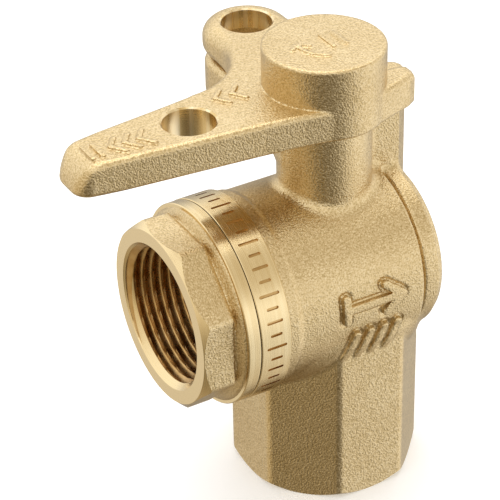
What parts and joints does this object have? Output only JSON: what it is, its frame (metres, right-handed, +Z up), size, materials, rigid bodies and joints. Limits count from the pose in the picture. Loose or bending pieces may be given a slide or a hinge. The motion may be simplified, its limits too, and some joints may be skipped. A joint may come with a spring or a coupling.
{
  "type": "lockable right-angle ball valve",
  "caption": "Lockable right-angle ball valve in forged brass: side inlet and bottom outlet with female threads, quarter-turn lever with padlock ear.",
  "frame": {"origin": "middle of the footprint of the whole valve, lever included, on the plane of the outlet end face", "axes": "+Z up along the stem, away from the outlet; -X is the way the inlet opens and the lever points; +Y is the side of the padlock lug"},
  "size_m": [0.0684, 0.0526, 0.0849],
  "materials": {
    "forged_brass": "shot-blasted forging, machined threads and holes",
    "turned_brass": "turned",
    "chrome_plate": "polished plate",
    "ptfe": "matte",
    "rubber": "matte",
    "steel": "ground"
  },
  "bodies": {
    "valve_body": {"valve_body": "forged_brass", "inlet_connector": "forged_brass", "inlet_seat": "ptfe", "rear_seat": "ptfe", "connector_o_ring": "rubber", "stem_thrust_washer": "ptfe"},
    "lever": {"lever": "forged_brass", "stem": "turned_brass", "lower_stem_o_ring": "rubber", "upper_stem_o_ring": "rubber", "lever_pin": "steel"},
    "ball": {"ball": "chrome_plate"}
  },
  "joints": [
    {"name": "lever_turn", "type": "hinge", "parent": "valve_body", "child": "lever", "pos_m": [0.01495, -0.0079, 0.0712], "axis": [0, 0, 1], "range_deg": [-90, 0]},
    {"name": "ball_turn", "type": "hinge", "parent": "valve_body", "child": "ball", "pos_m": [0.01495, -0.0079, 0.041], "axis": [0, 0, 1], "range_deg": [-90, 0]}
  ],
  "couplings": [
    {"joint": "ball_turn", "follows": "lever_turn", "ratio": 1}
  ]
}
